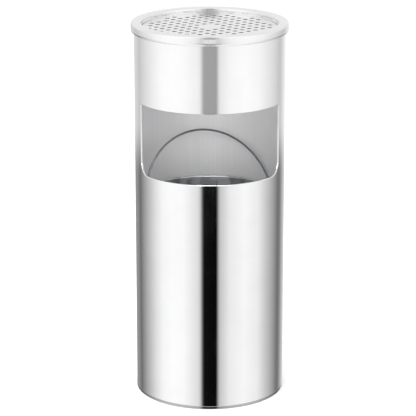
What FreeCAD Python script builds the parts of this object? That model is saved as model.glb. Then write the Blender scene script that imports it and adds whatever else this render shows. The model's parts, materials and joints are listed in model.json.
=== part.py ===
import FreeCAD, Part
import Sketcher
import math
import os

# A free-standing ashtray bin: a tall round shell of polished stainless sheet with a wide litter
# opening at the front, a lift-off ashtray head with a loose perforated plate, and a loose inner
# bucket with a wire bail. Millimetres. The origin is on the floor under the middle of the bin,
# +Z is up and the litter opening faces -Y.

V = FreeCAD.Vector
UP = V(0, 0, 1)

doc = FreeCAD.newDocument("ashtray_bin")
sheet = doc.addObject("Spreadsheet::Sheet", "Sizes")

SIZES = [
    ("overall_height", 610, "floor to the top of the rim"),
    ("body_diameter", 240, "outside of the shell"),
    ("shell_wall", 1.2, "sheet of the shell"),
    ("opening_drop", 123.5, "top of the rim to the top edge of the litter opening"),
    ("opening_height", 113, "height of the litter opening"),
    ("opening_angle", 129.6, "degrees of the shell that the litter opening takes"),
    ("opening_corner", 22, "radius of the opening's two lower corners"),
    ("corner_bow", 2.1, "most that such a corner may bow with the rolled sheet"),
    ("hem_width", 8, "edge folded back inside, all round the opening"),
    ("seam_width", 20, "strip inside the shell's back seam"),
    ("seam_gauge", 1.0, "sheet of that strip"),
    ("seam_groove", 0.5, "width and depth of the line where the sheet's ends meet"),
    ("band_height", 36, "stiffening band inside the top of the shell"),
    ("band_gauge", 1.5, "sheet of that band"),
    ("strip_leg", 8, "depth of the rubber edge strip inside the shell"),
    ("strip_gauge", 1.0, "rubber on top of the shell's edge"),
    ("floor_ring_height", 5, "foot ring between the shell and the floor"),
    ("floor_ring_width", 6, "its foot, measured inwards from the shell's outside"),
    ("floor_ring_upstand", 9, "its collar inside the shell"),
    ("floor_ring_collar", 2, "thickness of that collar"),
    ("base_gauge", 1.2, "sheet of the base plate"),
    ("base_flange", 6, "depth of the base plate's turned-down edge"),
    ("guide_height", 12, "lugs that centre the bucket"),
    ("guide_foot", 5, "length of a lug's foot"),
    ("guide_gauge", 1.5, "sheet of a lug"),
    ("guide_angle", 12, "degrees that a lug spans"),
    ("guide_gap", 0.8, "lug to bucket"),
    ("rim_overhang", 5, "rim beyond the shell"),
    ("rim_land", 12, "shell's outside to the rim's bore"),
    ("rim_round", 4.5, "upper rolled edge of the rim"),
    ("rim_side", 7.2, "upright side of the rim, between its two rolled edges"),
    ("rim_tuck", 4.5, "lower rolled edge of the rim"),
    ("rim_tuck_angle", 75, "degrees that the lower edge curls under"),
    ("rim_bore_round", 4, "edge of the rim's bore"),
    ("rim_wall", 1.2, "sheet of the rim"),
    ("rim_leg", 12, "depth of the rim's bore"),
    ("rim_seat", 3, "top of the rim to the edge strip that it rests on"),
    ("weld_gap", 0.2, "locating ring to the flat of the rim above it"),
    ("skirt_depth", 34, "top of the rim to the lower edge of the locating ring"),
    ("skirt_gauge", 1.2, "sheet of the locating ring"),
    ("skirt_gap", 0.5, "locating ring to band"),
    ("grid_recess", 9, "top of the rim to the perforated plate"),
    ("grid_gauge", 1.2, "sheet of the perforated plate"),
    ("grid_gap", 0.6, "perforated plate to the rim's bore"),
    ("grid_hole", 8.4, "diameter of its holes"),
    ("grid_pitch", 10.5, "spacing of the lines that the holes stand on"),
    ("grid_border", 5.2, "plain edge outside the holes"),
    ("grid_turn", -4.5, "degrees that the loose plate has turned in its seat"),
    ("dish_ledge", 6.5, "ledge that carries the perforated plate"),
    ("dish_depth", 42, "ledge to the floor of the ash dish"),
    ("dish_draft", 6, "how far the dish narrows towards its floor"),
    ("dish_corner", 9, "corner radius of the dish's floor"),
    ("dish_gauge", 1.0, "sheet of the ash dish"),
    ("bucket_gap", 9.8, "bucket's wall to the inside of the shell"),
    ("bucket_drop", 46.5, "lower edge of the opening to the bucket's rim"),
    ("bucket_gauge", 0.8, "sheet of the bucket"),
    ("bucket_floor_rise", 8, "height of the bucket's floor inside its foot"),
    ("curl_radius", 2.2, "rolled rim of the bucket"),
    ("curl_wire", 1.3, "radius of the wire inside the rolled rim"),
    ("strap_width", 18, "strap over the bucket's seam"),
    ("strap_gauge", 0.8, "sheet of that strap"),
    ("strap_inset", 16, "strap's ends from the bucket's foot and rim"),
    ("strap_rivets", 6, "rivets down the strap"),
    ("rivet_shank", 1.6, "radius of a rivet's shank"),
    ("rivet_head", 3.2, "radius of a rivet's head"),
    ("rivet_rise", 1.1, "height of a rivet's head"),
    ("rivet_gap", 0.05, "shank to hole"),
    ("ear_width", 32, "bail ear, round the bucket"),
    ("ear_height", 15, "bail ear, up and down"),
    ("ear_gauge", 1.2, "sheet of a bail ear"),
    ("ear_rivet_angle", 5, "degrees from a bail pivot to its rivets"),
    ("bail_wire", 1.6, "radius of the bail's wire"),
    ("bail_drop", 10, "bucket's rim to the bail's pivots"),
    ("bail_gap", 0.4, "bail to the bucket's rolled rim"),
    ("bail_leg_gap", 0.4, "arch's leg to the tail beside it"),
    ("bail_hook", 17, "length of the hanging loop at each end"),
    ("bail_hook_flare", 2.2, "how far that loop opens at its foot"),
    ("bail_tail_bend", 1.0, "inside of the bend from the tail down into the loop"),
    ("bail_loop_bend", 1.6, "inside of the two bends at the loop's foot"),
    ("bail_shoulder_bend", 10.4, "bend from the loop up into the arch"),
    ("bail_neck", 1.0, "that bend's corner below the pivots"),
    ("bail_tail", 3, "end of the wire inside the bucket"),
    ("bail_pivot_gap", 0.08, "wire to its hole"),
    ("bucket_turn", 30, "degrees that the bucket stands turned in the shell"),
    ("bail_lean", 25, "degrees that the bail leans to the back of its pivots"),
    ("rest_gap", 0.3, "between loose pieces that stand on each other"),
    ("edge_break", 0.6, "rounding of sheet edges that hands touch"),
]

for row, (alias, number, note) in enumerate(SIZES, start=1):
    sheet.set(f"A{row}", note)
    sheet.set(f"B{row}", str(number))
    sheet.setAlias(f"B{row}", alias)
doc.recompute()


def value(expression):
    """The number that an expression on the sheet stands for now."""
    return float(sheet.evalExpression(str(expression)))


def size(alias):
    """A cell of the sheet, as an expression."""
    return f"Sizes.{alias}"


# Radii and heights that several pieces share, as expressions on the sheet.
SHELL_OUT = "(Sizes.body_diameter / 2)"
SHELL_IN = f"({SHELL_OUT} - Sizes.shell_wall)"
SHELL_FOOT = size("floor_ring_height")
SHELL_TOP = "(Sizes.overall_height - Sizes.rim_seat - Sizes.strip_gauge)"
OPENING_TOP = "(Sizes.overall_height - Sizes.opening_drop)"
OPENING_FOOT = f"({OPENING_TOP} - Sizes.opening_height)"
BAND_IN = f"({SHELL_IN} - Sizes.band_gauge)"
BAND_TOP = f"({SHELL_TOP} - Sizes.strip_leg)"
BAND_FOOT = f"({BAND_TOP} - Sizes.band_height)"
PLATE_FOOT = "(Sizes.floor_ring_height + Sizes.floor_ring_upstand)"
PLATE_TOP = f"({PLATE_FOOT} + Sizes.base_flange)"

RIM_OUT = f"({SHELL_OUT} + Sizes.rim_overhang)"
RIM_BORE = f"({SHELL_OUT} - Sizes.rim_land)"
LEDGE_TOP = "(Sizes.overall_height - Sizes.grid_recess - Sizes.grid_gauge - Sizes.rest_gap)"

BUCKET_OUT = f"({SHELL_IN} - Sizes.bucket_gap)"
BUCKET_IN = f"({BUCKET_OUT} - Sizes.bucket_gauge)"
BUCKET_FOOT = f"({PLATE_TOP} + Sizes.rest_gap)"
BUCKET_TOP = f"({OPENING_FOOT} - Sizes.bucket_drop)"
CURL_MIDDLE = f"({BUCKET_IN} + Sizes.curl_radius)"
CURL_HEIGHT = f"({BUCKET_TOP} - Sizes.curl_radius)"
PIVOT_HEIGHT = f"({BUCKET_TOP} - Sizes.bail_drop)"
BAIL_RADIUS = f"({CURL_MIDDLE} + Sizes.curl_radius + Sizes.bail_gap + Sizes.bail_wire)"
BAIL_OFFSET = "(2 * Sizes.bail_wire + Sizes.bail_leg_gap)"

nodes = []


def is_node(thing, name):
    """Give a finished piece the name of its node."""
    thing.Label = name
    nodes.append(thing)
    return thing


def new_body(name):
    body = doc.addObject("PartDesign::Body", name)
    body.Label = name
    return body


def sketch_on(body, role, name):
    """An empty sketch on one of the body's own origin planes."""
    sketch = body.newObject("Sketcher::SketchObject", name)
    plane = next(feature for feature in body.Origin.OriginFeatures if feature.Role == role)
    sketch.AttachmentSupport = [(plane, "")]
    sketch.MapMode = "FlatFace"
    return sketch


def arc_middle(start, end, side, radius):
    """The point half way along an arc that bulges to the given side of start to end."""
    chord = end - start
    across = V(-chord.y, chord.x, 0).normalize()
    rise = radius - math.sqrt(radius ** 2 - (chord.Length / 2) ** 2)
    if side == "right":
        rise = -rise
    return (start + end) * 0.5 + across * rise


def outline(sketch, corners):
    """Close a chain of straight and round edges, with every corner held by two expressions.

    A corner is (across, up). Where (across, up, side, radius) is given, the edge that leaves the
    corner is an arc, which bulges to that side of its own direction.
    """
    points = [V(value(corner[0]), value(corner[1]), 0) for corner in corners]
    for index, corner in enumerate(corners):
        start = points[index]
        end = points[(index + 1) % len(points)]
        if len(corner) == 4:
            middle = arc_middle(start, end, corner[2], value(corner[3]))
            sketch.addGeometry(Part.Arc(start, middle, end), False)
        else:
            sketch.addGeometry(Part.LineSegment(start, end), False)

    def end_at(edge, point):
        """Which end of an edge, 1 or 2, lies at a point."""
        return min((1, 2), key=lambda end: (sketch.getPoint(edge, end) - point).Length)

    for index, corner in enumerate(corners):
        before = index - 1 if index else len(corners) - 1
        here = end_at(index, points[index])
        there = end_at(before, points[index])
        sketch.addConstraint(Sketcher.Constraint("Coincident", before, there, index, here))
        for kind, expression, axis in (("DistanceX", corner[0], -2), ("DistanceY", corner[1], -1)):
            number = value(expression)
            if abs(number) < 1e-9:
                sketch.addConstraint(Sketcher.Constraint("PointOnObject", index, here, axis))
                continue
            held = sketch.addConstraint(Sketcher.Constraint(kind, -1, 1, index, here, number))
            sketch.setExpression(f"Constraints[{held}]", str(expression))
        if len(corner) == 4:
            held = sketch.addConstraint(Sketcher.Constraint("Radius", index, value(corner[3])))
            sketch.setExpression(f"Constraints[{held}]", str(corner[3]))


def box_outline(low_across, low_up, high_across, high_up):
    """The four corners of a rectangle."""
    return [(low_across, low_up), (high_across, low_up), (high_across, high_up), (low_across, high_up)]


def spin(body, name, corners, role="XZ_Plane", angle=None, cut=False):
    """Turn an outline about the bin's axis, all the way round or through a part of a turn."""
    sketch = sketch_on(body, role, f"{name}_outline")
    outline(sketch, corners)
    feature = body.newObject("PartDesign::Groove" if cut else "PartDesign::Revolution", name)
    feature.Profile = sketch
    feature.ReferenceAxis = (sketch, ["V_Axis"])
    if angle is not None:
        feature.setExpression("Angle", angle)
        feature.Midplane = True
    doc.recompute()
    return feature


def edge_names(feature, wanted):
    """Names of the edges of a feature that a test picks out."""
    edges = feature.Shape.Edges
    return [f"Edge{number}" for number, edge in enumerate(edges, start=1) if wanted(edge)]


def round_edges(body, name, base, wanted, radius):
    names = edge_names(base, wanted)
    if not names:
        raise RuntimeError(f"{name} finds no edges to round")
    fillet = body.newObject("PartDesign::Fillet", name)
    fillet.Base = (base, names)
    fillet.setExpression("Radius", radius)
    doc.recompute()
    return fillet


def near(a, b):
    return abs(a - b) < 1e-3


def level_spoke(edge, height):
    """Whether an edge is a short level one that points at the bin's axis."""
    if len(edge.Vertexes) != 2 or not all(near(vertex.Z, height) for vertex in edge.Vertexes):
        return False
    start, end = (V(vertex.X, vertex.Y, 0) for vertex in edge.Vertexes)
    return start.getAngle(end) < 1e-4 and not near(start.Length, end.Length)


# The shell: rolled sheet, hemmed round the litter opening, joined by a seam down its back.

def make_outer_shell():
    body = new_body("outer_shell")
    spin(body, "shell_tube", box_outline(SHELL_IN, SHELL_FOOT, SHELL_OUT, SHELL_TOP))
    hem_in = f"({SHELL_IN} - Sizes.shell_wall)"
    hem_low = f"({OPENING_FOOT} - Sizes.hem_width)"
    hem_high = f"({OPENING_TOP} + Sizes.hem_width)"
    hem_angle = f"Sizes.opening_angle + 360 * Sizes.hem_width / (pi * {SHELL_OUT})"
    spin(body, "opening_hem",
         box_outline(f"-{SHELL_IN}", hem_low, f"-{hem_in}", hem_high),
         role="YZ_Plane", angle=hem_angle)
    opening = spin(body, "litter_opening",
                   box_outline(f"-({SHELL_OUT} + Sizes.shell_wall)", OPENING_FOOT,
                               f"-({hem_in} - Sizes.shell_wall)", OPENING_TOP),
                   role="YZ_Plane", angle=size("opening_angle"), cut=True)
    # On a tightly rolled sheet a round corner bows out of the hemmed edge's thickness.
    roundest = f"sqrt((2 * {SHELL_OUT} - Sizes.corner_bow) * Sizes.corner_bow)"
    opening = round_edges(body, "opening_corners", opening,
                          lambda edge: level_spoke(edge, value(OPENING_FOOT)),
                          f"min(Sizes.opening_corner; {roundest})")
    groove_angle = f"360 * Sizes.seam_groove / (2 * pi * {SHELL_OUT})"
    spin(body, "seam_groove",
         box_outline(f"{SHELL_OUT} - Sizes.seam_groove", f"{SHELL_FOOT} - 1",
                     f"{SHELL_OUT} + 1", f"{SHELL_TOP} + 1"),
         role="YZ_Plane", angle=groove_angle, cut=True)
    return is_node(body, "outer_shell")


def make_shell_seam_strip():
    body = new_body("shell_seam_strip")
    spin(body, "seam_strip",
         box_outline(f"{SHELL_IN} - Sizes.seam_gauge", PLATE_TOP, SHELL_IN, BAND_FOOT),
         role="YZ_Plane", angle=f"360 * Sizes.seam_width / (2 * pi * {SHELL_IN})")
    return is_node(body, "shell_seam_strip")


def make_top_band():
    body = new_body("top_band")
    spin(body, "band", box_outline(BAND_IN, BAND_FOOT, SHELL_IN, BAND_TOP))
    return is_node(body, "top_band")


def make_edge_strip():
    """Rubber strip pressed over the shell's top edge: a leg inside and a lip on top."""
    body = new_body("edge_strip")
    lip_top = f"({SHELL_TOP} + Sizes.strip_gauge)"
    spin(body, "strip", [
        (BAND_IN, BAND_TOP),
        (SHELL_IN, BAND_TOP),
        (SHELL_IN, SHELL_TOP),
        (SHELL_OUT, SHELL_TOP),
        (SHELL_OUT, lip_top),
        (BAND_IN, lip_top),
    ])
    return is_node(body, "edge_strip")


def make_base_plate():
    """Pressed disc with its edge turned down against the shell."""
    body = new_body("base_plate")
    flange_in = f"({SHELL_IN} - Sizes.base_gauge)"
    under = f"({PLATE_TOP} - Sizes.base_gauge)"
    spin(body, "plate", [
        (0, under),
        (flange_in, under),
        (flange_in, PLATE_FOOT),
        (SHELL_IN, PLATE_FOOT),
        (SHELL_IN, PLATE_TOP),
        (0, PLATE_TOP),
    ])
    return is_node(body, "base_plate")


def make_base_ring():
    """Steel ring that the shell stands in, with its outer foot chamfered."""
    body = new_body("base_ring")
    foot_in = f"({SHELL_OUT} - Sizes.floor_ring_width)"
    spin(body, "ring", [
        (foot_in, 0),
        (f"{SHELL_OUT} - Sizes.edge_break", 0),
        (SHELL_OUT, size("edge_break")),
        (SHELL_OUT, SHELL_FOOT),
        (SHELL_IN, SHELL_FOOT),
        (SHELL_IN, PLATE_FOOT),
        (f"{SHELL_IN} - Sizes.floor_ring_collar", PLATE_FOOT),
        (f"{SHELL_IN} - Sizes.floor_ring_collar", SHELL_FOOT),
        (foot_in, SHELL_FOOT),
    ])
    return is_node(body, "base_ring")


def make_bucket_guide(number, azimuth):
    """An L-shaped lug welded to the base plate, which centres the foot of the bucket."""
    body = new_body(f"bucket_guide_{number}")
    face = f"({BUCKET_OUT} + Sizes.guide_gap)"
    spin(body, f"guide_{number}", [
        (face, PLATE_TOP),
        (f"{face} + Sizes.guide_foot", PLATE_TOP),
        (f"{face} + Sizes.guide_foot", f"{PLATE_TOP} + Sizes.guide_gauge"),
        (f"{face} + Sizes.guide_gauge", f"{PLATE_TOP} + Sizes.guide_gauge"),
        (f"{face} + Sizes.guide_gauge", f"{PLATE_TOP} + Sizes.guide_height"),
        (face, f"{PLATE_TOP} + Sizes.guide_height"),
    ], angle=size("guide_angle"))
    body.Placement = FreeCAD.Placement(V(), FreeCAD.Rotation(UP, azimuth))
    return is_node(body, f"bucket_guide_{number}")


# The ashtray head: a rolled rim over the shell's edge, an ash dish below it, and a ring that
# centres it in the shell.

def make_head_rim():
    body = new_body("head_rim")
    top = size("overall_height")
    wall = size("rim_wall")
    crown_middle = f"({RIM_OUT} - Sizes.rim_round)"
    tuck_middle = f"({RIM_OUT} - Sizes.rim_tuck)"
    shoulder = f"({top} - Sizes.rim_round)"
    waist = f"({shoulder} - Sizes.rim_side)"
    bore_shoulder = f"({top} - Sizes.rim_bore_round)"
    leg_foot = f"({top} - Sizes.rim_leg)"
    lip_out = (f"{tuck_middle} + Sizes.rim_tuck * cos(Sizes.rim_tuck_angle)",
               f"{waist} - Sizes.rim_tuck * sin(Sizes.rim_tuck_angle)")
    lip_in = (f"{tuck_middle} + (Sizes.rim_tuck - {wall}) * cos(Sizes.rim_tuck_angle)",
              f"{waist} - (Sizes.rim_tuck - {wall}) * sin(Sizes.rim_tuck_angle)")
    spin(body, "rim", [
        (RIM_BORE, leg_foot),
        (RIM_BORE, bore_shoulder, "left", size("rim_bore_round")),
        (f"{RIM_BORE} + Sizes.rim_bore_round", top),
        (crown_middle, top, "left", size("rim_round")),
        (RIM_OUT, shoulder),
        (RIM_OUT, waist, "left", size("rim_tuck")),
        lip_out,
        (*lip_in, "right", f"Sizes.rim_tuck - {wall}"),
        (f"{RIM_OUT} - {wall}", waist),
        (f"{RIM_OUT} - {wall}", shoulder, "right", f"Sizes.rim_round - {wall}"),
        (crown_middle, f"{top} - {wall}"),
        (f"{RIM_BORE} + Sizes.rim_bore_round", f"{top} - {wall}",
         "right", f"Sizes.rim_bore_round - {wall}"),
        (f"{RIM_BORE} + {wall}", bore_shoulder),
        (f"{RIM_BORE} + {wall}", leg_foot),
    ])
    return is_node(body, "head_rim")


def make_locating_ring():
    """Plain ring under the rim that drops inside the shell's stiffening band."""
    body = new_body("locating_ring")
    outside = f"({BAND_IN} - Sizes.skirt_gap)"
    spin(body, "skirt", box_outline(f"{outside} - Sizes.skirt_gauge",
                                    "Sizes.overall_height - Sizes.skirt_depth",
                                    outside,
                                    "Sizes.overall_height - Sizes.rim_wall - Sizes.weld_gap"))
    return is_node(body, "locating_ring")


def make_ash_dish():
    """Pressed dish: a ledge for the perforated plate, drafted sides and a round-cornered floor."""
    body = new_body("ash_dish")
    gauge = size("dish_gauge")
    mouth = f"({RIM_BORE} - Sizes.dish_ledge)"
    floor_top = f"({LEDGE_TOP} - Sizes.dish_depth)"
    foot = f"({mouth} - Sizes.dish_draft)"
    inner_corner = f"(Sizes.dish_corner - {gauge})"
    spin(body, "dish", [
        (0, f"{floor_top} - {gauge}"),
        (f"{foot} - {inner_corner}", f"{floor_top} - {gauge}", "right", size("dish_corner")),
        (f"{foot} + {gauge}", f"{floor_top} + {inner_corner}"),
        (f"{mouth} + {gauge}", f"{LEDGE_TOP} - {gauge}"),
        (RIM_BORE, f"{LEDGE_TOP} - {gauge}"),
        (RIM_BORE, LEDGE_TOP),
        (mouth, LEDGE_TOP),
        (foot, f"{floor_top} + {inner_corner}", "left", inner_corner),
        (f"{foot} - {inner_corner}", floor_top),
        (0, floor_top),
    ])
    return is_node(body, "ash_dish")


def make_perforated_plate():
    """Loose round plate. Its holes stand on every other crossing of a square net of lines, and
    the four crossings nearest the middle stay plain."""
    gauge = value(size("grid_gauge"))
    radius = value(f"{RIM_BORE} - Sizes.grid_gap")
    hole = value("Sizes.grid_hole / 2")
    pitch = value(size("grid_pitch"))
    reach = radius - value(size("grid_border")) - hole
    top = value("Sizes.overall_height - Sizes.grid_recess")
    lines = math.ceil(radius / pitch)
    wires = [Part.Wire(Part.makeCircle(radius))]
    for column in range(-lines, lines + 1):
        for line in range(-lines, lines + 1):
            centre = V(column * pitch, line * pitch, 0)
            punched = (column + line) % 2 == 1 and centre.Length > 1.5 * pitch
            if punched and centre.Length <= reach:
                wires.append(Part.Wire(Part.makeCircle(hole, centre)))
    plate = doc.addObject("Part::Feature", "perforated_plate")
    plate.Shape = Part.Face(wires, "Part::FaceMakerBullseye").extrude(V(0, 0, gauge))
    turn = FreeCAD.Rotation(UP, value(size("grid_turn")))
    plate.Placement = FreeCAD.Placement(V(0, 0, top - gauge), turn)
    return is_node(plate, "perforated_plate")


# The bucket, with a strap over its seam and a wire bail. All of it is made with the bail's
# pivots along X and then turned to where it stands in the shell.

def primitive(kind, name, **bindings):
    """A Part primitive with its properties bound to expressions."""
    thing = doc.addObject(f"Part::{kind}", name)
    for prop, expression in bindings.items():
        thing.setExpression(prop, str(expression))
    return thing


def along_spoke(thing, start, azimuth, height):
    """Stand a round primitive on a radius of the bucket: it starts at one radius and points out."""
    turn = FreeCAD.Rotation(UP, value(azimuth)) * FreeCAD.Rotation(V(0, 1, 0), 90)
    thing.Placement = FreeCAD.Placement(V(), turn)
    thing.setExpression("Placement.Base.x", f"({start}) * cos({azimuth})")
    thing.setExpression("Placement.Base.y", f"({start}) * sin({azimuth})")
    thing.setExpression("Placement.Base.z", str(height))
    return thing


def drilled(blank, drills, name):
    """A piece with the drills taken out of it."""
    tool = doc.addObject("Part::MultiFuse", f"{name}_drills")
    tool.Shapes = drills
    cut = doc.addObject("Part::Cut", name)
    cut.Base = blank
    cut.Tool = tool
    return cut


def bucket_node(thing, name):
    """Turn a piece of the bucket to where the bucket stands, and make it a node."""
    turn = FreeCAD.Rotation(UP, value(size("bucket_turn")))
    thing.Placement = FreeCAD.Placement(V(), turn)
    return is_node(thing, name)


def drill(name, radius, azimuth, height):
    """A drill from inside the bucket's wall to well outside it."""
    start = f"{BUCKET_IN} - 5"
    cylinder = primitive("Cylinder", name, Radius=radius, Height=10)
    return along_spoke(cylinder, start, azimuth, height)


def rivet(name, azimuth, height, outer_face):
    """A rivet through the bucket's wall: tapered head outside, flat head inside."""
    shank = primitive("Cylinder", f"{name}_shank", Radius=size("rivet_shank"),
                      Height=f"{outer_face} - {BUCKET_IN}")
    head = primitive("Cone", f"{name}_head", Radius1=size("rivet_head"),
                     Radius2="Sizes.rivet_head - Sizes.rivet_rise", Height=size("rivet_rise"))
    tail = primitive("Cylinder", f"{name}_tail", Radius="Sizes.rivet_head - Sizes.rivet_rise",
                     Height="Sizes.rivet_rise / 2")
    along_spoke(shank, BUCKET_IN, azimuth, height)
    along_spoke(head, outer_face, azimuth, height)
    along_spoke(tail, f"{BUCKET_IN} - Sizes.rivet_rise / 2", azimuth, height)
    whole = doc.addObject("Part::MultiFuse", name)
    whole.Shapes = [shank, head, tail]
    return whole


def strap_rivet_heights():
    count = int(value(size("strap_rivets")))
    low = f"({BUCKET_FOOT} + 2 * Sizes.strap_inset)"
    high = f"({BUCKET_TOP} - 2 * Sizes.strap_inset)"
    return [f"({low} + ({high} - {low}) * {step} / {count - 1})" for step in range(count)]


SEAM_AZIMUTH = "90"
EAR_AZIMUTHS = {"right": "0", "left": "180"}


def ear_rivet_azimuths(side):
    middle = EAR_AZIMUTHS[side]
    return [f"({middle} - Sizes.ear_rivet_angle)", f"({middle} + Sizes.ear_rivet_angle)"]


def rivet_drills(name, azimuths, heights):
    radius = "Sizes.rivet_shank + Sizes.rivet_gap"
    places = [(azimuth, height) for azimuth in azimuths for height in heights]
    return [drill(f"{name}_{number}", radius, azimuth, height)
            for number, (azimuth, height) in enumerate(places, start=1)]


def pivot_drill(name, side):
    return drill(name, "Sizes.bail_wire + Sizes.bail_pivot_gap", EAR_AZIMUTHS[side], PIVOT_HEIGHT)


def make_bucket_wall():
    body = new_body("bucket_wall_blank")
    spin(body, "bucket_side", box_outline(BUCKET_IN, BUCKET_FOOT, BUCKET_OUT, CURL_HEIGHT))
    sketch = sketch_on(body, "XZ_Plane", "curl_outline")
    for number, radius in enumerate(("Sizes.curl_radius", "Sizes.curl_radius - Sizes.bucket_gauge")):
        centre = V(value(CURL_MIDDLE), value(CURL_HEIGHT), 0)
        sketch.addGeometry(Part.Circle(centre, UP, value(radius)), False)
        for kind, expression in (("DistanceX", CURL_MIDDLE), ("DistanceY", CURL_HEIGHT)):
            held = sketch.addConstraint(
                Sketcher.Constraint(kind, -1, 1, number, 3, value(expression)))
            sketch.setExpression(f"Constraints[{held}]", expression)
        held = sketch.addConstraint(Sketcher.Constraint("Radius", number, value(radius)))
        sketch.setExpression(f"Constraints[{held}]", radius)
    curl = body.newObject("PartDesign::Revolution", "rolled_rim")
    curl.Profile = sketch
    curl.ReferenceAxis = (sketch, ["V_Axis"])
    doc.recompute()
    drills = rivet_drills("wall_seam_drill", [SEAM_AZIMUTH], strap_rivet_heights())
    for side in EAR_AZIMUTHS:
        drills.extend(rivet_drills(f"wall_{side}_drill", ear_rivet_azimuths(side), [PIVOT_HEIGHT]))
        drills.append(pivot_drill(f"wall_{side}_pivot", side))
    return bucket_node(drilled(body, drills, "bucket_wall"), "bucket_wall")


def make_bucket_bottom():
    """Pressed disc with its edge turned down inside the foot of the wall."""
    body = new_body("bucket_bottom")
    gauge = size("bucket_gauge")
    floor = f"({BUCKET_FOOT} + Sizes.bucket_floor_rise)"
    spin(body, "bottom", [
        (0, f"{floor} - {gauge}"),
        (f"{BUCKET_IN} - {gauge}", f"{floor} - {gauge}"),
        (f"{BUCKET_IN} - {gauge}", BUCKET_FOOT),
        (BUCKET_IN, BUCKET_FOOT),
        (BUCKET_IN, floor),
        (0, floor),
    ])
    return bucket_node(body, "bucket_bottom")


def make_bucket_rim_wire():
    wire = primitive("Torus", "bucket_rim_wire", Radius1=CURL_MIDDLE, Radius2=size("curl_wire"))
    bucket_node(wire, "bucket_rim_wire")
    wire.setExpression("Placement.Base.z", CURL_HEIGHT)
    return wire


def make_bucket_seam_strap():
    body = new_body("bucket_seam_strap_blank")
    spin(body, "strap",
         box_outline(BUCKET_OUT, f"{BUCKET_FOOT} + Sizes.strap_inset",
                     f"{BUCKET_OUT} + Sizes.strap_gauge", f"{BUCKET_TOP} - Sizes.strap_inset"),
         role="YZ_Plane", angle=f"360 * Sizes.strap_width / (2 * pi * {BUCKET_OUT})")
    drills = rivet_drills("strap_drill", [SEAM_AZIMUTH], strap_rivet_heights())
    return bucket_node(drilled(body, drills, "bucket_seam_strap"), "bucket_seam_strap")


def make_bucket_seam_rivets():
    face = f"({BUCKET_OUT} + Sizes.strap_gauge)"
    group = doc.addObject("Part::Compound", "bucket_seam_rivets")
    group.Links = [rivet(f"seam_rivet_{number}", SEAM_AZIMUTH, height, face)
                   for number, height in enumerate(strap_rivet_heights(), start=1)]
    return bucket_node(group, "bucket_seam_rivets")


def make_bail_ear(side):
    """A plate riveted to the outside of the bucket round one pivot of the bail."""
    name = f"bail_ear_{side}"
    body = new_body(f"{name}_blank")
    spin(body, f"{name}_plate",
         box_outline(BUCKET_OUT, f"{PIVOT_HEIGHT} - Sizes.ear_height + Sizes.bail_drop / 2",
                     f"{BUCKET_OUT} + Sizes.ear_gauge", f"{PIVOT_HEIGHT} + Sizes.bail_drop / 2"),
         angle=f"360 * Sizes.ear_width / (2 * pi * {BUCKET_OUT})")
    body.Placement = FreeCAD.Placement(V(), FreeCAD.Rotation(UP, float(EAR_AZIMUTHS[side])))
    drills = rivet_drills(f"{name}_drill", ear_rivet_azimuths(side), [PIVOT_HEIGHT])
    drills.append(pivot_drill(f"{name}_pivot", side))
    return bucket_node(drilled(body, drills, name), name)


def make_bail_ear_rivets():
    face = f"({BUCKET_OUT} + Sizes.ear_gauge)"
    group = doc.addObject("Part::Compound", "bail_ear_rivets")
    group.Links = [rivet(f"ear_rivet_{side}_{number}", azimuth, PIVOT_HEIGHT, face)
                   for side in EAR_AZIMUTHS
                   for number, azimuth in enumerate(ear_rivet_azimuths(side), start=1)]
    return bucket_node(group, "bail_ear_rivets")


def rounded_edges(points, radii):
    """Straight edges through points, with an arc of the given radius at each inner point."""
    edges = []
    start = points[0]
    for before, corner, after, radius in zip(points, points[1:], points[2:], radii):
        back = (before - corner).normalize()
        ahead = (after - corner).normalize()
        half = back.getAngle(ahead) / 2
        reach = radius / math.tan(half)
        middle = corner + (back + ahead).normalize() * (radius / math.sin(half) - radius)
        edges.append(Part.LineSegment(start, corner + back * reach).toShape())
        edges.append(Part.Arc(corner + back * reach, middle, corner + ahead * reach).toShape())
        start = corner + ahead * reach
    edges.append(Part.LineSegment(start, points[-1]).toShape())
    return edges


def make_bail():
    """One wire: an arch, and at each end a hanging loop whose tail goes through the bucket."""
    radius = value(BAIL_RADIUS)
    wire = value(size("bail_wire"))
    offset = value(BAIL_OFFSET)
    hook = value(size("bail_hook"))
    flare = value(size("bail_hook_flare"))
    tail_bend = value("Sizes.bail_wire + Sizes.bail_tail_bend")
    loop_bend = value("Sizes.bail_wire + Sizes.bail_loop_bend")
    bends = [tail_bend, loop_bend, loop_bend, value(size("bail_shoulder_bend"))]
    neck = value(size("bail_neck"))
    tail = value(f"{BUCKET_IN} - Sizes.bail_tail")
    hook_points = [
        V(tail, 0, 0),
        V(radius, 0, 0),
        V(radius, flare, -hook),
        V(radius, -offset - flare, -hook),
        V(radius, -offset, -neck),
        V(radius, -offset, 0),
    ]
    hook_edges = rounded_edges(hook_points, bends)
    arch = Part.Arc(V(radius, -offset, 0), V(0, -offset, radius), V(-radius, -offset, 0)).toShape()
    # The far end is the near end's reflection, taken in reverse.
    far_points = [V(-point.x, point.y, point.z) for point in reversed(hook_points)]
    far_edges = rounded_edges(far_points, bends[::-1])
    path = Part.Wire(hook_edges + [arch] + far_edges)
    section = Part.Wire(Part.makeCircle(wire, V(tail, 0, 0), V(1, 0, 0)))
    bail = doc.addObject("Part::Feature", "bail")
    bail.Shape = path.makePipeShell([section], True, True)
    volume = math.pi * wire ** 2 * path.Length
    if abs(bail.Shape.Volume - volume) > 0.01 * volume:
        raise RuntimeError("the bail's sweep has the wrong volume")
    turn = FreeCAD.Rotation(UP, value(size("bucket_turn")))
    lean = FreeCAD.Rotation(V(1, 0, 0), -value(size("bail_lean")))
    bail.Placement = FreeCAD.Placement(V(0, 0, value(PIVOT_HEIGHT)), turn * lean)
    return is_node(bail, "bail")


GUIDE_AZIMUTHS = (30, 150, 270)

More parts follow.
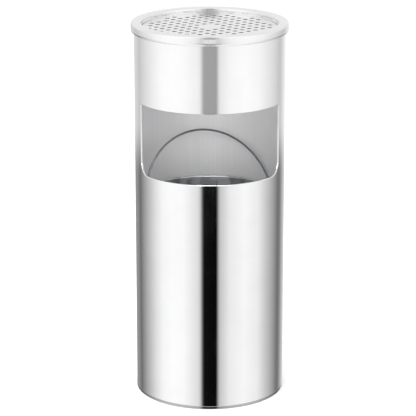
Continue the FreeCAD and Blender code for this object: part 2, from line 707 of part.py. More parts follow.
make_outer_shell()
make_shell_seam_strip()
make_top_band()
make_edge_strip()
make_base_plate()
make_base_ring()
for guide_number, guide_azimuth in enumerate(GUIDE_AZIMUTHS, start=1):
    make_bucket_guide(guide_number, guide_azimuth)
make_head_rim()
make_locating_ring()
make_ash_dish()
make_perforated_plate()
make_bucket_wall()
make_bucket_bottom()
make_bucket_rim_wire()
make_bucket_seam_strap()
make_bucket_seam_rivets()
for ear_side in EAR_AZIMUTHS:
    make_bail_ear(ear_side)
make_bail_ear_rivets()
make_bail()

doc.recompute()
for thing in doc.Objects:
    if "Invalid" in thing.State or "Error" in thing.State:
        raise RuntimeError(f"{thing.Label} failed to compute")

os.makedirs("parts", exist_ok=True)
for node in nodes:
    if node.Shape.isNull() or not node.Shape.isValid():
        raise RuntimeError(f"{node.Label} has no valid shape")
    node.Shape.exportStep(f"parts/{node.Label}.step")
    bounds = node.Shape.BoundBox
    print(f"{node.Label}: {len(node.Shape.Solids)} solid, {node.Shape.Volume:.0f} mm3, "
          f"z {bounds.ZMin:.1f} to {bounds.ZMax:.1f}, radius {bounds.XMax:.1f}")
print(f"{len(nodes)} nodes")
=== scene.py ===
# %% [markdown]
# # An ashtray bin in polished steel
#
# A tall round bin: a shell of mirror-polished stainless sheet with a wide litter opening, a
# lift-off ashtray head with a loose perforated plate, and a galvanised bucket with a wire bail
# inside it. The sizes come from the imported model, which is loaded first and never moved.
# Everything that the eye meets is made again here as smooth sheet metal, because a mirror finish
# shows every facet of a coarse mesh.

# %% Load the frame
import json
import math

import bmesh
import bpy
from mathutils import Matrix, Vector

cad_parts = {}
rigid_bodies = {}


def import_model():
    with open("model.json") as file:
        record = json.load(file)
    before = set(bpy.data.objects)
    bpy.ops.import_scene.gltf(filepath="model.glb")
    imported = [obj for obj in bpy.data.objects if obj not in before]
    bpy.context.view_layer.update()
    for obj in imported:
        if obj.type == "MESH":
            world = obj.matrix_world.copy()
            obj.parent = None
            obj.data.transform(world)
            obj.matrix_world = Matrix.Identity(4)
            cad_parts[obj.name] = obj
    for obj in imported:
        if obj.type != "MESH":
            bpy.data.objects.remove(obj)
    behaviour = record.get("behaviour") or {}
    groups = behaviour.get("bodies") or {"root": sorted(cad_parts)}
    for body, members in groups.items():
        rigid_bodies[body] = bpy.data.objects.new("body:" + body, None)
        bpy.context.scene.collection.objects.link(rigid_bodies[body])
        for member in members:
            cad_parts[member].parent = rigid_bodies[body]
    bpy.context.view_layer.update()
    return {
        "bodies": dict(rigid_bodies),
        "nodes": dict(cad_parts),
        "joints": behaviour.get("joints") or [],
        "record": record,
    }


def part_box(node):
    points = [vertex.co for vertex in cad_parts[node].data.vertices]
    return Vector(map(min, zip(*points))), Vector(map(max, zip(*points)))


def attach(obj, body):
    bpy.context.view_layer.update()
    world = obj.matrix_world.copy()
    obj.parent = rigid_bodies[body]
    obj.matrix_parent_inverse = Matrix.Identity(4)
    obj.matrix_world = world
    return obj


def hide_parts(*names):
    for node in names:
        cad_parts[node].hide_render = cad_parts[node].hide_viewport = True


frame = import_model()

MM = 0.001

# %% [markdown]
# ## Sizes
#
# Radii and heights are read from the boxes of the loaded parts. Only what a box cannot tell, such
# as the width of the litter opening, is named here in millimetres, times MM.

# %% Sizes that the pieces share
shell_low, shell_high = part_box("outer_shell")
SHELL_RADIUS = shell_high.x
SHELL_FOOT = shell_low.z
SHELL_TOP = shell_high.z
SHEET = 1.2 * MM

OPENING_TOP = 486.5 * MM
OPENING_FOOT = 373.5 * MM
OPENING_HALF_ANGLE = math.radians(64.8)
OPENING_CORNER = 22 * MM
HEM = 8 * MM

rim_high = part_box("head_rim")[1]
RIM_RADIUS = rim_high.x
RIM_TOP = rim_high.z
plate_low, plate_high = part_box("perforated_plate")
PLATE_RADIUS = plate_high.x
PLATE_TOP = plate_high.z
bucket_low, bucket_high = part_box("bucket_wall")
BUCKET_RADIUS = bucket_high.x
BUCKET_TOP = bucket_high.z
BUCKET_FOOT = bucket_low.z
joints = {joint["name"]: joint for joint in frame["joints"]}
PIVOT_HEIGHT = joints["bail_swing"]["pos_m"][2]
bail_axis = joints["bail_swing"]["axis"]
BUCKET_TURN = math.atan2(bail_axis[1], bail_axis[0])
BAIL_LEAN = math.radians(sum(joints["bail_swing"]["range_deg"]) / 2)
print(f"shell radius {SHELL_RADIUS:.4f}, bucket turned {math.degrees(BUCKET_TURN):.1f} degrees")

# %% [markdown]
# ## The view
#
# The bin is looked at from a few metres away with a long lens, a little from above, as is usual in
# a catalogue: the sides stay almost parallel. The render is kept in plain display colours, so that
# white paper stays white.

# %% Camera
CAMERA_AWAY = 3.2
CAMERA_HEIGHT = 1.241
AIM_HEIGHT = 0.302
AIM_SIDE = -0.0028
LENS = 178

camera_data = bpy.data.cameras.new("camera")
camera_data.lens = LENS
camera_data.sensor_width = 36
camera = bpy.data.objects.new("camera", camera_data)
camera.location = (AIM_SIDE, -CAMERA_AWAY, CAMERA_HEIGHT)
aim = Vector((AIM_SIDE, 0, AIM_HEIGHT)) - camera.location
camera.rotation_euler = aim.to_track_quat("-Z", "Y").to_euler()
bpy.context.scene.collection.objects.link(camera)
bpy.context.scene.camera = camera
bpy.context.scene.view_settings.view_transform = "Standard"
print(f"camera looks down at {math.degrees(math.atan2(-aim.z, -camera.location.y)):.1f} degrees")

# %% [markdown]
# ## The studio
#
# Polished steel has hardly a colour of its own. What is seen on it is the studio: white light
# tents at both sides, a black gap between them where the camera looks through, and darker walls
# behind. A mirror on a cylinder turns a strip of the studio into an upright stripe, so the studio
# is written as brightness against direction round the bin, with zero towards the camera. Lights
# and cards could do the same, but they would also show from the side. The stripes are strong only in
# a band from about 15 to 25 degrees below the horizon, which the lower part of the shell mirrors.
# Nearer the horizon they are washed out, and farther down the pale floor washes them out again.
# Above and behind the bin hangs the white roof of the tent.

# %% Studio stripes
# Each stop is a direction in degrees, positive to the right, and a brightness. The other angles
# are heights above the horizon, also in degrees, between which one part of the studio fades into
# the next.
STUDIO_STOPS = [
    (-180, 0.36), (-146, 0.24), (-136, 0.15), (-122, 0.32), (-105, 0.55), (-91, 0.77),
    (-78, 0.94), (-60, 1.0), (-42, 0.98), (-33, 0.90), (-18, 0.74), (-14.5, 0.55), (-11.5, 0.13),
    (-9.2, 0.005), (10.6, 0.002), (12.8, 0.28), (15.6, 0.56), (31, 0.84), (55, 0.95), (80, 0.84),
    (96, 0.60), (117, 0.34), (130, 0.17), (138, 0.19), (148, 0.38), (162, 0.62), (180, 0.36),
]
WASHED_LOW = -15.4
WASHED_HIGH = -13.9
WASHED_DARKEST = 0.34
WASHED_POWER = 0.6
FLOOR_LOW = -34.0
FLOOR_HIGH = -25.0
ROOF_LOW = -3.0
ROOF_HIGH = 9.0
ROOF_BRIGHT = 0.80
ROOF_FADE = 0.3
GLOW = 1.12


def shader_node(tree, kind, inputs=None, **settings):
    """Add a node, with its settings and its inputs by number or name; an input may be a socket."""
    node = tree.nodes.new(kind)
    for setting, worth in settings.items():
        setattr(node, setting, worth)
    for name, worth in (inputs or {}).items():
        if isinstance(worth, bpy.types.NodeSocket):
            tree.links.new(worth, node.inputs[name])
        else:
            node.inputs[name].default_value = worth
    return node


def maths(tree, operation, first, second=0.0, clamp=False):
    """The result of a Math node."""
    node = shader_node(tree, "ShaderNodeMath", {0: first, 1: second}, operation=operation)
    node.use_clamp = clamp
    return node.outputs[0]


def fade(tree, up, low, high, start, end):
    """Ease from start to end between two heights above the horizon, in degrees."""
    return shader_node(tree, "ShaderNodeMapRange", {
        0: up, 1: math.sin(math.radians(low)), 2: math.sin(math.radians(high)), 3: start, 4: end,
    }, interpolation_type="SMOOTHSTEP").outputs[0]


def make_studio():
    world = bpy.data.worlds.new("studio")
    bpy.context.scene.world = world
    world.use_nodes = True
    tree = world.node_tree
    tree.nodes.clear()
    direction = shader_node(tree, "ShaderNodeTexCoord").outputs["Generated"]
    split = shader_node(tree, "ShaderNodeSeparateXYZ", {0: direction})
    across, away, up = split.outputs[0], split.outputs[1], split.outputs[2]
    turn = maths(tree, "ARCTAN2", across, maths(tree, "MULTIPLY", away, -1.0))
    share = maths(tree, "MULTIPLY_ADD", turn, 1 / math.tau)
    share.node.inputs[2].default_value = 0.5
    ramp = shader_node(tree, "ShaderNodeValToRGB", {0: share})
    stops = ramp.color_ramp.elements
    for index, (degrees, bright) in enumerate(STUDIO_STOPS):
        place = degrees / 360 + 0.5
        stop = stops[index] if index < 2 else stops.new(place)
        stop.position = place
        stop.color = (bright, bright, bright, 1)
    stripes = ramp.outputs[0]
    soft = maths(tree, "POWER", stripes, WASHED_POWER)
    washed = maths(tree, "MULTIPLY_ADD", soft, 1 - WASHED_DARKEST)
    washed.node.inputs[2].default_value = WASHED_DARKEST
    rise = fade(tree, up, WASHED_LOW, WASHED_HIGH, 0.0, 1.0)
    sink = fade(tree, up, FLOOR_LOW, FLOOR_HIGH, 1.0, 0.0)
    pale = maths(tree, "MAXIMUM", rise, sink)
    walls = shader_node(tree, "ShaderNodeMix", {0: pale, 2: stripes, 3: washed}, data_type="FLOAT")
    above = fade(tree, up, ROOF_LOW, ROOF_HIGH, 0.0, 1.0)
    behind = shader_node(tree, "ShaderNodeMapRange",
                         {0: away, 1: -ROOF_FADE, 2: ROOF_FADE, 3: 0.0, 4: 1.0},
                         interpolation_type="SMOOTHSTEP").outputs[0]
    roof = maths(tree, "MULTIPLY", above, behind)
    mix = shader_node(tree, "ShaderNodeMix", {0: roof, 2: walls.outputs[0], 3: ROOF_BRIGHT},
                      data_type="FLOAT")
    seen = shader_node(tree, "ShaderNodeLightPath").outputs["Is Camera Ray"]
    glow = shader_node(tree, "ShaderNodeBackground", {0: mix.outputs[0], 1: GLOW})
    paper = shader_node(tree, "ShaderNodeBackground", {0: (1, 1, 1, 1), 1: 1.0})
    both = shader_node(tree, "ShaderNodeMixShader", {0: seen, 1: glow.outputs[0], 2: paper.outputs[0]})
    shader_node(tree, "ShaderNodeOutputWorld", {0: both.outputs[0]})


make_studio()
print(f"studio of {len(STUDIO_STOPS)} stops")

# %% [markdown]
# ## Floor and lamps
#
# The floor is a wide sheet of pale paper. It takes the soft shadow of the bin and lights it from
# below, but it is left out of mirror reflections, which come from the studio's stripes. Two large
# soft lamps fill the studio from above, and they too stay out of the mirror. Bare metal shows a
# lamp only as a reflection, so the three lamps that are there for metal can be seen in it: a wide
# one far in front that looks into the litter opening, a tiny one just inside the opening that
# lights the inner walls, and a card low in front that softens the dark stripe on the rim.

# %% Floor and lamps
FLOOR_REACH = 9.0


def make_floor():
    bm = bmesh.new()
    bmesh.ops.create_circle(bm, cap_ends=True, segments=96, radius=FLOOR_REACH)
    mesh = bpy.data.meshes.new("floor")
    bm.to_mesh(mesh)
    bm.free()
    floor = bpy.data.objects.new("floor", mesh)
    bpy.context.scene.collection.objects.link(floor)
    paper = bpy.data.materials.new("paper")
    paper.use_nodes = True
    tree = paper.node_tree
    body = tree.nodes["Principled BSDF"]
    body.inputs["Roughness"].default_value = 0.9
    place = shader_node(tree, "ShaderNodeTexCoord").outputs["Object"]
    grain = shader_node(tree, "ShaderNodeTexNoise", {0: place, "Scale": 3.0})
    tone = shader_node(tree, "ShaderNodeMapRange", {0: grain.outputs[0], 3: 0.93, 4: 0.95})
    tree.links.new(tone.outputs[0], body.inputs["Base Color"])
    mesh.materials.append(paper)
    floor.visible_glossy = False


def make_lamp(name, place, watts, width, height, aim=(0, 0, 0.3), in_mirror=False):
    """A soft rectangular lamp, pointed at a place."""
    data = bpy.data.lights.new(name, "AREA")
    data.energy = watts
    data.shape = "RECTANGLE"
    data.size = width
    data.size_y = height
    lamp = bpy.data.objects.new(name, data)
    lamp.location = place
    lamp.rotation_euler = (Vector(aim) - Vector(place)).to_track_quat("-Z", "Y").to_euler()
    lamp.visible_glossy = in_mirror
    lamp.visible_camera = False
    bpy.context.scene.collection.objects.link(lamp)
    return lamp


make_floor()
make_lamp("roof_lamp", (0, -0.6, 3.4), watts=80, width=3.0, height=3.0)
make_lamp("left_lamp", (-2.6, -1.8, 2.2), watts=35, width=1.8, height=1.8)
opening_lamp = make_lamp("opening_lamp", (0, -4.0, 1.35), watts=40, width=5.0, height=1.4,
                         in_mirror=True)
make_lamp("inside_lamp", (0, -0.104, 0.465), watts=0.20, width=0.07, height=0.04,
          aim=(0, 0.1, 0.36), in_mirror=True)
rim_lamp = make_lamp("rim_lamp", (0, -1.6, 0.28), watts=0.34, width=0.55, height=0.25,
                     aim=(0, -0.12, 0.60), in_mirror=True)
print("floor and lamps set")

# %% [markdown]
# ## Finishes
#
# Nine metals and a rubber. Each bare metal is a metallic Principled surface whose roughness and
# bump come from noise, stretched the way that the tool ran: up and down on the polished shell and
# its grey inside, along the plate, and round and round on the rim and the foot. Handling leaves
# soft smudges, which change the roughness and hardly the shade. The foot's steel is a copy of the
# rim's steel at half the brightness: that darker shade is painted shade at the bottom of the bin.

# %% Helpers for finishes
def new_finish(name):
    finish = bpy.data.materials.new(name)
    finish.use_nodes = True
    tree = finish.node_tree
    surface = tree.nodes["Principled BSDF"]
    return finish, tree, surface


def object_place(tree, scale=(1, 1, 1)):
    """Object coordinates, stretched."""
    place = shader_node(tree, "ShaderNodeTexCoord").outputs["Object"]
    return shader_node(tree, "ShaderNodeMapping", {0: place, "Scale": scale}).outputs[0]


def round_place(tree, round_scale, out_scale, up_scale):
    """Coordinates that run round, out from and along the bin's axis."""
    place = shader_node(tree, "ShaderNodeTexCoord").outputs["Object"]
    parts = shader_node(tree, "ShaderNodeSeparateXYZ", {0: place}).outputs
    turn = maths(tree, "ARCTAN2", parts[1], parts[0])
    out = maths(tree, "SQRT", maths(tree, "ADD", maths(tree, "MULTIPLY", parts[0], parts[0]),
                                    maths(tree, "MULTIPLY", parts[1], parts[1])))
    joined = shader_node(tree, "ShaderNodeCombineXYZ", {
        0: maths(tree, "MULTIPLY", maths(tree, "COSINE", turn), round_scale),
        1: maths(tree, "MULTIPLY_ADD", out, out_scale),
        2: maths(tree, "MULTIPLY", parts[2], up_scale),
    })
    return joined.outputs[0]


def noise(tree, place, scale, detail=3.0, rough=0.5):
    return shader_node(tree, "ShaderNodeTexNoise",
                       {0: place, "Scale": scale, "Detail": detail, "Roughness": rough}).outputs[0]


def spread(tree, worth, low, high, start=0.3, end=0.7):
    """Map a noise value, mostly between start and end, to low and high."""
    return shader_node(tree, "ShaderNodeMapRange",
                       {0: worth, 1: start, 2: end, 3: low, 4: high}).outputs[0]


def bump(tree, surface, worth, depth, strength=1.0):
    node = shader_node(tree, "ShaderNodeBump",
                       {"Height": worth, "Distance": depth, "Strength": strength})
    tree.links.new(node.outputs[0], surface.inputs["Normal"])
    return node


def tint(tree, surface, worth, dark, light):
    """Base colour between two shades."""
    node = shader_node(tree, "ShaderNodeMix", {0: worth}, data_type="RGBA")
    node.inputs[6].default_value = (*dark, 1)
    node.inputs[7].default_value = (*light, 1)
    tree.links.new(node.outputs[2], surface.inputs["Base Color"])


def metal(name, place, shade, roughness, grain_scale, grain_depth, smudge=0.05, smudge_scale=14,
          wear=0.25):
    """A bare metal. wear is the share by which the grain changes the roughness."""
    finish, tree, surface = new_finish(name)
    surface.inputs["Metallic"].default_value = 1.0
    grain = noise(tree, place(tree), grain_scale, 4.0, 0.6)
    smear = noise(tree, object_place(tree), smudge_scale, 5.0, 0.6)
    brushed = spread(tree, grain, roughness * (1 - wear), roughness * (1 + wear))
    worn = maths(tree, "ADD", brushed, spread(tree, smear, 0.0, smudge, 0.45, 0.75))
    tree.links.new(worn, surface.inputs["Roughness"])
    bump(tree, surface, grain, grain_depth)
    dark = tuple(channel * 0.95 for channel in shade)
    tint(tree, surface, spread(tree, smear, 0.0, 1.0), dark, shade)
    return finish


# %% Metals
shell_steel = metal(
    "shell_steel", lambda tree: object_place(tree, (1, 1, 0.012)), shade=(0.90, 0.90, 0.905),
    roughness=0.045, grain_scale=900, grain_depth=0.0000012, smudge=0.03)
inner_steel = metal(
    "inner_steel", lambda tree: object_place(tree, (1, 1, 0.02)), shade=(0.78, 0.78, 0.785),
    roughness=0.75, grain_scale=240, grain_depth=0.0000005, smudge=0.04, wear=0.05)
rim_steel = metal(
    "rim_steel", lambda tree: round_place(tree, 0.05, 1, 1), shade=(0.91, 0.91, 0.915),
    roughness=0.21, grain_scale=1200, grain_depth=0.000001, smudge=0.03)
# The rim's steel again, at half the brightness: its dark shade is painted shade at the foot of the
# bin.
shaded_foot_steel = metal(
    "shaded_foot_steel", lambda tree: round_place(tree, 0.05, 1, 1), shade=(0.47, 0.47, 0.475),
    roughness=0.05, grain_scale=1200, grain_depth=0.000001, smudge=0.03)
plate_steel = metal(
    "plate_steel", lambda tree: object_place(tree, (1, 0.03, 1)), shade=(0.93, 0.93, 0.93),
    roughness=0.22, grain_scale=500, grain_depth=0.0000004, smudge_scale=22)
wire_steel = metal(
    "wire_steel", object_place, shade=(0.20, 0.20, 0.205),
    roughness=0.50, grain_scale=700, grain_depth=0.00001, smudge=0.10, smudge_scale=60)
rivet_steel = metal(
    "rivet_steel", object_place, shade=(0.60, 0.60, 0.61),
    roughness=0.34, grain_scale=500, grain_depth=0.00001, smudge=0.10, smudge_scale=80)
print("metals:", shell_steel.name, inner_steel.name, rim_steel.name, shaded_foot_steel.name,
      plate_steel.name, wire_steel.name, rivet_steel.name)

# %% [markdown]
# Galvanised sheet shows its zinc crystals: flat patches a centimetre across, each a little lighter
# or darker than the next. A Voronoi cell pattern gives each patch a shade and a roughness of its
# own. The ash dish is plain pressed steel that ash and heat have dulled in clouds, and the rubber
# is black with a fine tooth and a trace of floor dust low down.

# %% Zinc, ash-dulled steel and rubber
def make_galvanised():
    finish, tree, surface = new_finish("galvanised")
    surface.inputs["Metallic"].default_value = 1.0
    place = object_place(tree, (1, 1, 0.7))
    cells = shader_node(tree, "ShaderNodeTexVoronoi", {0: place, "Scale": 75.0})
    shade = shader_node(tree, "ShaderNodeSeparateColor", {0: cells.outputs["Color"]}).outputs[0]
    haze = noise(tree, place, 30, 4.0)
    mixed = maths(tree, "MULTIPLY_ADD", shade, 0.6)
    tree.links.new(maths(tree, "MULTIPLY", haze, 0.4), mixed.node.inputs[2])
    tint(tree, surface, mixed, (0.42, 0.43, 0.44), (0.62, 0.63, 0.64))
    tree.links.new(spread(tree, mixed, 0.28, 0.50, 0.1, 0.9), surface.inputs["Roughness"])
    bump(tree, surface, haze, 0.00004)
    return finish


def make_dish_steel():
    finish, tree, surface = new_finish("dish_steel")
    surface.inputs["Metallic"].default_value = 1.0
    place = object_place(tree)
    cloud = noise(tree, place, 26, 6.0, 0.62)
    tint(tree, surface, spread(tree, cloud, 0.0, 1.0), (0.30, 0.295, 0.285), (0.60, 0.60, 0.60))
    tree.links.new(spread(tree, cloud, 0.55, 0.28), surface.inputs["Roughness"])
    bump(tree, surface, noise(tree, place, 900, 2.0), 0.00001)
    return finish


def make_rubber():
    finish, tree, surface = new_finish("rubber")
    place = object_place(tree)
    tooth = noise(tree, place, 1500, 3.0)
    dust = noise(tree, place, 60, 5.0)
    height = shader_node(tree, "ShaderNodeSeparateXYZ", {0: place}).outputs[2]
    low = shader_node(tree, "ShaderNodeMapRange", {0: height, 1: 0.006, 2: 0.0}).outputs[0]
    dusty = maths(tree, "MULTIPLY", low, spread(tree, dust, 0.0, 0.6))
    tint(tree, surface, dusty, (0.030, 0.030, 0.032), (0.20, 0.19, 0.18))
    tree.links.new(spread(tree, dust, 0.55, 0.75), surface.inputs["Roughness"])
    bump(tree, surface, tooth, 0.00003)
    return finish


galvanised = make_galvanised()
dish_steel = make_dish_steel()
rubber = make_rubber()
FINISHES = {
    "shell_steel": shell_steel, "inner_steel": inner_steel, "rim_steel": rim_steel,
    "plate_steel": plate_steel, "wire_steel": wire_steel, "rivet_steel": rivet_steel,
    "galvanised": galvanised, "dish_steel": dish_steel, "rubber": rubber,
}
print(f"{len(FINISHES)} finishes by slot, and the foot's own")

# %% [markdown]
# ## Turning a mesh into a piece
#
# Every piece ends the same way: its faces are turned outwards, its shading is smooth except over
# real corners, it rides on its body, and it stands for the plain parts that it replaces. A mirror
# also needs exact normals where a surface is a true cylinder or a true plane, because a corner
# that is shared with a rounded edge would otherwise pull the reflection crooked.

# %% Finish a piece
CREASE = math.radians(38)
TRUE_ENOUGH = 0.995


def set_true_normals(mesh, direction):
    """Give the corners of faces that lie along a direction field exactly that direction."""
    normals = [Vector((0, 0, 0))] * len(mesh.loops)
    for face in mesh.polygons:
        exact = direction(face.center)
        agree = exact.dot(face.normal)
        if abs(agree) < TRUE_ENOUGH:
            continue
        for loop in face.loop_indices:
            place = mesh.vertices[mesh.loops[loop].vertex_index].co
            normals[loop] = direction(place) * math.copysign(1, agree)
    mesh.normals_split_custom_set(normals)


def outwards(place):
    """Straight out from the bin's axis."""
    return Vector((place.x, place.y, 0)).normalized()


def upwards(place):
    return Vector((0, 0, 1))


def make_piece(name, bm, body, slot, instead_of, direction=None, finishes=None):
    bmesh.ops.remove_doubles(bm, verts=bm.verts[:], dist=1e-6)
    bmesh.ops.recalc_face_normals(bm, faces=bm.faces[:])
    mesh = bpy.data.meshes.new(name)
    bm.to_mesh(mesh)
    bm.free()
    for finish in finishes or [FINISHES[slot]]:
        mesh.materials.append(finish)
    mesh.shade_smooth()
    mesh.set_sharp_from_angle(angle=CREASE)
    if direction:
        set_true_normals(mesh, direction)
    piece = bpy.data.objects.new(name, mesh)
    bpy.context.scene.collection.objects.link(piece)
    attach(piece, body)
    if instead_of:
        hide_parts(*instead_of)
    print(f"{name}: {len(mesh.polygons)} faces")
    return piece


# %% [markdown]
# ## Sheet metal, cut flat and rolled
#
# A tinsmith cuts a sheet while it is flat and rolls it afterwards, and so does this script. A flat
# piece is drawn as closed rings: one ring for each step over its edges, from the face, over the
# edge, to the back. Neighbouring rings are bridged, and the two faces are filled between the outer
# ring and the rings of the holes. Then the sheet is sliced into narrow strips and each vertex is
# moved from its place along the sheet to its angle round the cylinder.

# %% Rings, edges and faces of a cut sheet
def ring(bm, points, depth):
    """A closed ring of edges at a depth behind the sheet's face (y holds the depth)."""
    verts = [bm.verts.new((across, -depth, up)) for across, up in points]
    return [bm.edges.new((a, b)) for a, b in zip(verts, verts[1:] + verts[:1])]


def corner_arc(middle, radius, start, steps=12):
    """A quarter turn from a start angle in degrees, anticlockwise."""
    turns = [math.radians(start + 90 * step / steps) for step in range(steps + 1)]
    return [(middle[0] + radius * math.cos(turn), middle[1] + radius * math.sin(turn))
            for turn in turns]


def rounded_box(low, high, corners, steps=12):
    """An outline that can grow: corners are the radii, from lower right and anticlockwise."""
    def outline(grow=0.0):
        places = [(high[0], low[1], -1, 1, -90), (high[0], high[1], -1, -1, 0),
                  (low[0], high[1], 1, -1, 90), (low[0], low[1], 1, 1, 180)]
        points = []
        for (across, up, side, rise, start), radius in zip(places, corners):
            middle = (across + side * radius, up + rise * radius)
            points.extend(corner_arc(middle, radius + grow, start, steps))
        return points
    return outline


def round_hole(middle, radius, steps=28):
    def outline(grow=0.0):
        turns = [math.tau * step / steps for step in range(steps)]
        return [(middle[0] + (radius + grow) * math.cos(turn),
                 middle[1] + (radius + grow) * math.sin(turn)) for turn in turns]
    return outline


def soft_edge(gauge, soft):
    """Steps over a plain sheared edge: (how far past the outline, depth)."""
    return [(soft, 0), (soft * 0.3, soft * 0.3), (0, soft), (0, gauge - soft),
            (soft * 0.3, gauge - soft * 0.3), (soft, gauge)]


def cut_sheet(bm, outside, gauge, holes, soft=0.15 * MM):
    """A closed flat sheet. holes pairs an outline with its own steps over the edge."""
    borders = [(outside, [(-grow, depth) for grow, depth in soft_edge(gauge, soft)])] + holes
    face_edges = []
    back_edges = []
    for outline, steps in borders:
        rings = [ring(bm, outline(grow), depth) for grow, depth in steps]
        for near, far in zip(rings, rings[1:]):
            bmesh.ops.bridge_loops(bm, edges=near + far)
        face_edges.extend(rings[0])
        back_edges.extend(rings[-1])
    for edges in (face_edges, back_edges):
        bmesh.ops.triangle_fill(bm, use_beauty=True, use_dissolve=False, edges=edges)


def slice_across(bm, low, high, count):
    """Cut the flat sheet into strips, so that it can be rolled."""
    for step in range(1, count):
        place = low + (high - low) * step / count
        bmesh.ops.bisect_plane(bm, geom=bm.verts[:] + bm.edges[:] + bm.faces[:],
                               dist=1e-7, plane_co=(place, 0, 0), plane_no=(1, 0, 0))


def roll(bm, radius, azimuth):
    """Roll the sheet round the bin's axis; its middle comes to lie at an azimuth from -Y."""
    for vert in bm.verts:
        across, depth, up = vert.co
        turn = across / radius + azimuth
        reach = radius + depth
        vert.co = (reach * math.sin(turn), -reach * math.cos(turn), up)


# %% [markdown]
# ## The shell
#
# The outer shell is one sheet. Its litter opening is hemmed: the edge is folded back inside, so
# that a hand meets a round edge, and that round edge is the bright line that outlines the opening.
# The hem is a row of ring steps that go round a half circle, back along the inside and up to the
# sheet again. The two ends of the sheet meet at the back in a fine butt seam. The outside is
# mirror-polished, the inside has the mill's own grey finish, so the faces behind the sheet's face
# take a second material.

# %% The rolled shell
SEAM_GAP = 0.25 * MM
STRIPS = 240
HEM_STEPS = 10
HEM_EASE = 0.3 * MM
SHEET_CORNER = 0.3 * MM
UPPER_CORNER = 2 * MM


def hem_steps():
    """The face, a half circle round the edge, the hem's back, and up to the sheet's back."""
    fold = SHEET
    turns = [math.pi * step / HEM_STEPS for step in range(HEM_STEPS + 1)]
    steps = [(fold - fold * math.sin(turn), fold - fold * math.cos(turn)) for turn in turns]
    return steps + [(HEM, 2 * fold), (HEM + HEM_EASE, 1.7 * fold), (HEM + HEM_EASE, fold)]


def make_shell():
    bm = bmesh.new()
    half_round = math.pi * SHELL_RADIUS - SEAM_GAP / 2
    half_opening = OPENING_HALF_ANGLE * SHELL_RADIUS
    sheet = rounded_box((-half_round, SHELL_FOOT), (half_round, SHELL_TOP), [SHEET_CORNER] * 4, 2)
    opening = rounded_box((-half_opening, OPENING_FOOT), (half_opening, OPENING_TOP),
                          [OPENING_CORNER, UPPER_CORNER, UPPER_CORNER, OPENING_CORNER], 14)
    cut_sheet(bm, sheet, SHEET, [(opening, hem_steps())])
    slice_across(bm, -half_round, half_round, STRIPS)
    for face in bm.faces:
        face.material_index = 1 if face.calc_center_median().y < -0.9 * SHEET else 0
    roll(bm, SHELL_RADIUS, 0)
    return make_piece("shell_sheet", bm, "shell", "shell_steel", ["outer_shell"],
                      outwards, [shell_steel, inner_steel])


make_shell()

# %% [markdown]
# ## Spun pieces
#
# The rim, the dish, the bands, the rubber and the bucket are all round, so each is one profile,
# spun about the axis. Profiles are lists of corners with arcs between them.

# %% Spin a profile
ROUND_STEPS = 256


def arc(middle, radius, start, end, steps=8):
    """Points on an arc, from one angle in degrees to another."""
    turns = [math.radians(start + (end - start) * step / steps) for step in range(steps + 1)]
    return [(middle[0] + radius * math.cos(turn), middle[1] + radius * math.sin(turn))
            for turn in turns]


def softened(points, radius, steps=3):
    """Round each corner of a closed outline by a small radius."""
    result = []
    for before, corner, after in zip(points[-1:] + points[:-1], points, points[1:] + points[:1]):
        here = Vector(corner)
        back = (Vector(before) - here)
        ahead = (Vector(after) - here)
        reach = min(radius, back.length * 0.45, ahead.length * 0.45)
        if here.x < 1e-6 or reach < 1e-6:
            result.append(corner)
            continue
        start = here + back.normalized() * reach
        end = here + ahead.normalized() * reach
        for step in range(steps + 1):
            share = step / steps
            place = start * (1 - share) ** 2 + here * 2 * share * (1 - share) + end * share ** 2
            result.append((place.x, place.y))
    return result


def spun(points, steps=ROUND_STEPS):
    """A closed solid: a closed profile of (radius, height) points, spun all the way round."""
    bm = bmesh.new()
    verts = [bm.verts.new((radius, 0, height)) for radius, height in points]
    edges = [bm.edges.new((a, b)) for a, b in zip(verts, verts[1:] + verts[:1])
             if a.co.x > 1e-6 or b.co.x > 1e-6]
    bmesh.ops.spin(bm, geom=verts + edges, cent=(0, 0, 0), axis=(0, 0, 1), dvec=(0, 0, 0),
                   angle=math.tau, steps=steps, use_merge=True)
    return bm


# %% The rolled rim
RIM_WALL = 1.2 * MM
RIM_ROUND = 4.5 * MM
RIM_SIDE = 7.2 * MM
RIM_TUCK = 4.5 * MM
RIM_TUCK_ANGLE = 75
RIM_BORE = 108 * MM
RIM_BORE_ROUND = 4 * MM
RIM_LEG = 12 * MM


def make_rim():
    """The same section as the plain part, with finer steps and a round lip under the edge."""
    crown = (RIM_RADIUS - RIM_ROUND, RIM_TOP - RIM_ROUND)
    tuck = (RIM_RADIUS - RIM_TUCK, RIM_TOP - RIM_ROUND - RIM_SIDE)
    shoulder = (RIM_BORE + RIM_BORE_ROUND, RIM_TOP - RIM_BORE_ROUND)
    leg_foot = RIM_TOP - RIM_LEG
    inner = RIM_TUCK - RIM_WALL
    lip_reach = RIM_TUCK - RIM_WALL / 2
    lip_turn = math.radians(-RIM_TUCK_ANGLE)
    lip_middle = (tuck[0] + lip_reach * math.cos(lip_turn), tuck[1] + lip_reach * math.sin(lip_turn))
    points = [(RIM_BORE, leg_foot)]
    points += arc(shoulder, RIM_BORE_ROUND, 180, 90, 8)
    points += arc(crown, RIM_ROUND, 90, 0, 14)
    points += arc(tuck, RIM_TUCK, 0, -RIM_TUCK_ANGLE, 12)
    points += arc(lip_middle, RIM_WALL / 2, -RIM_TUCK_ANGLE, -RIM_TUCK_ANGLE - 180, 6)[1:-1]
    points += arc(tuck, inner, -RIM_TUCK_ANGLE, 0, 12)
    points += arc(crown, RIM_ROUND - RIM_WALL, 0, 90, 12)
    points += arc(shoulder, RIM_BORE_ROUND - RIM_WALL, 90, 180, 8)
    points += [(RIM_BORE + RIM_WALL, leg_foot)]
    return make_piece("rim_roll", spun(points), "ashtray_head", "rim_steel", ["head_rim"])


rim_roll = make_rim()

# %% [markdown]
# ## The perforated plate
#
# The plate is a flat disc punched with staggered holes; the four places round the middle stay
# plain. A punch pulls the upper edge of each hole down a little, and that soft roll-over is what
# catches the light, so every hole gets a few ring steps of its own.

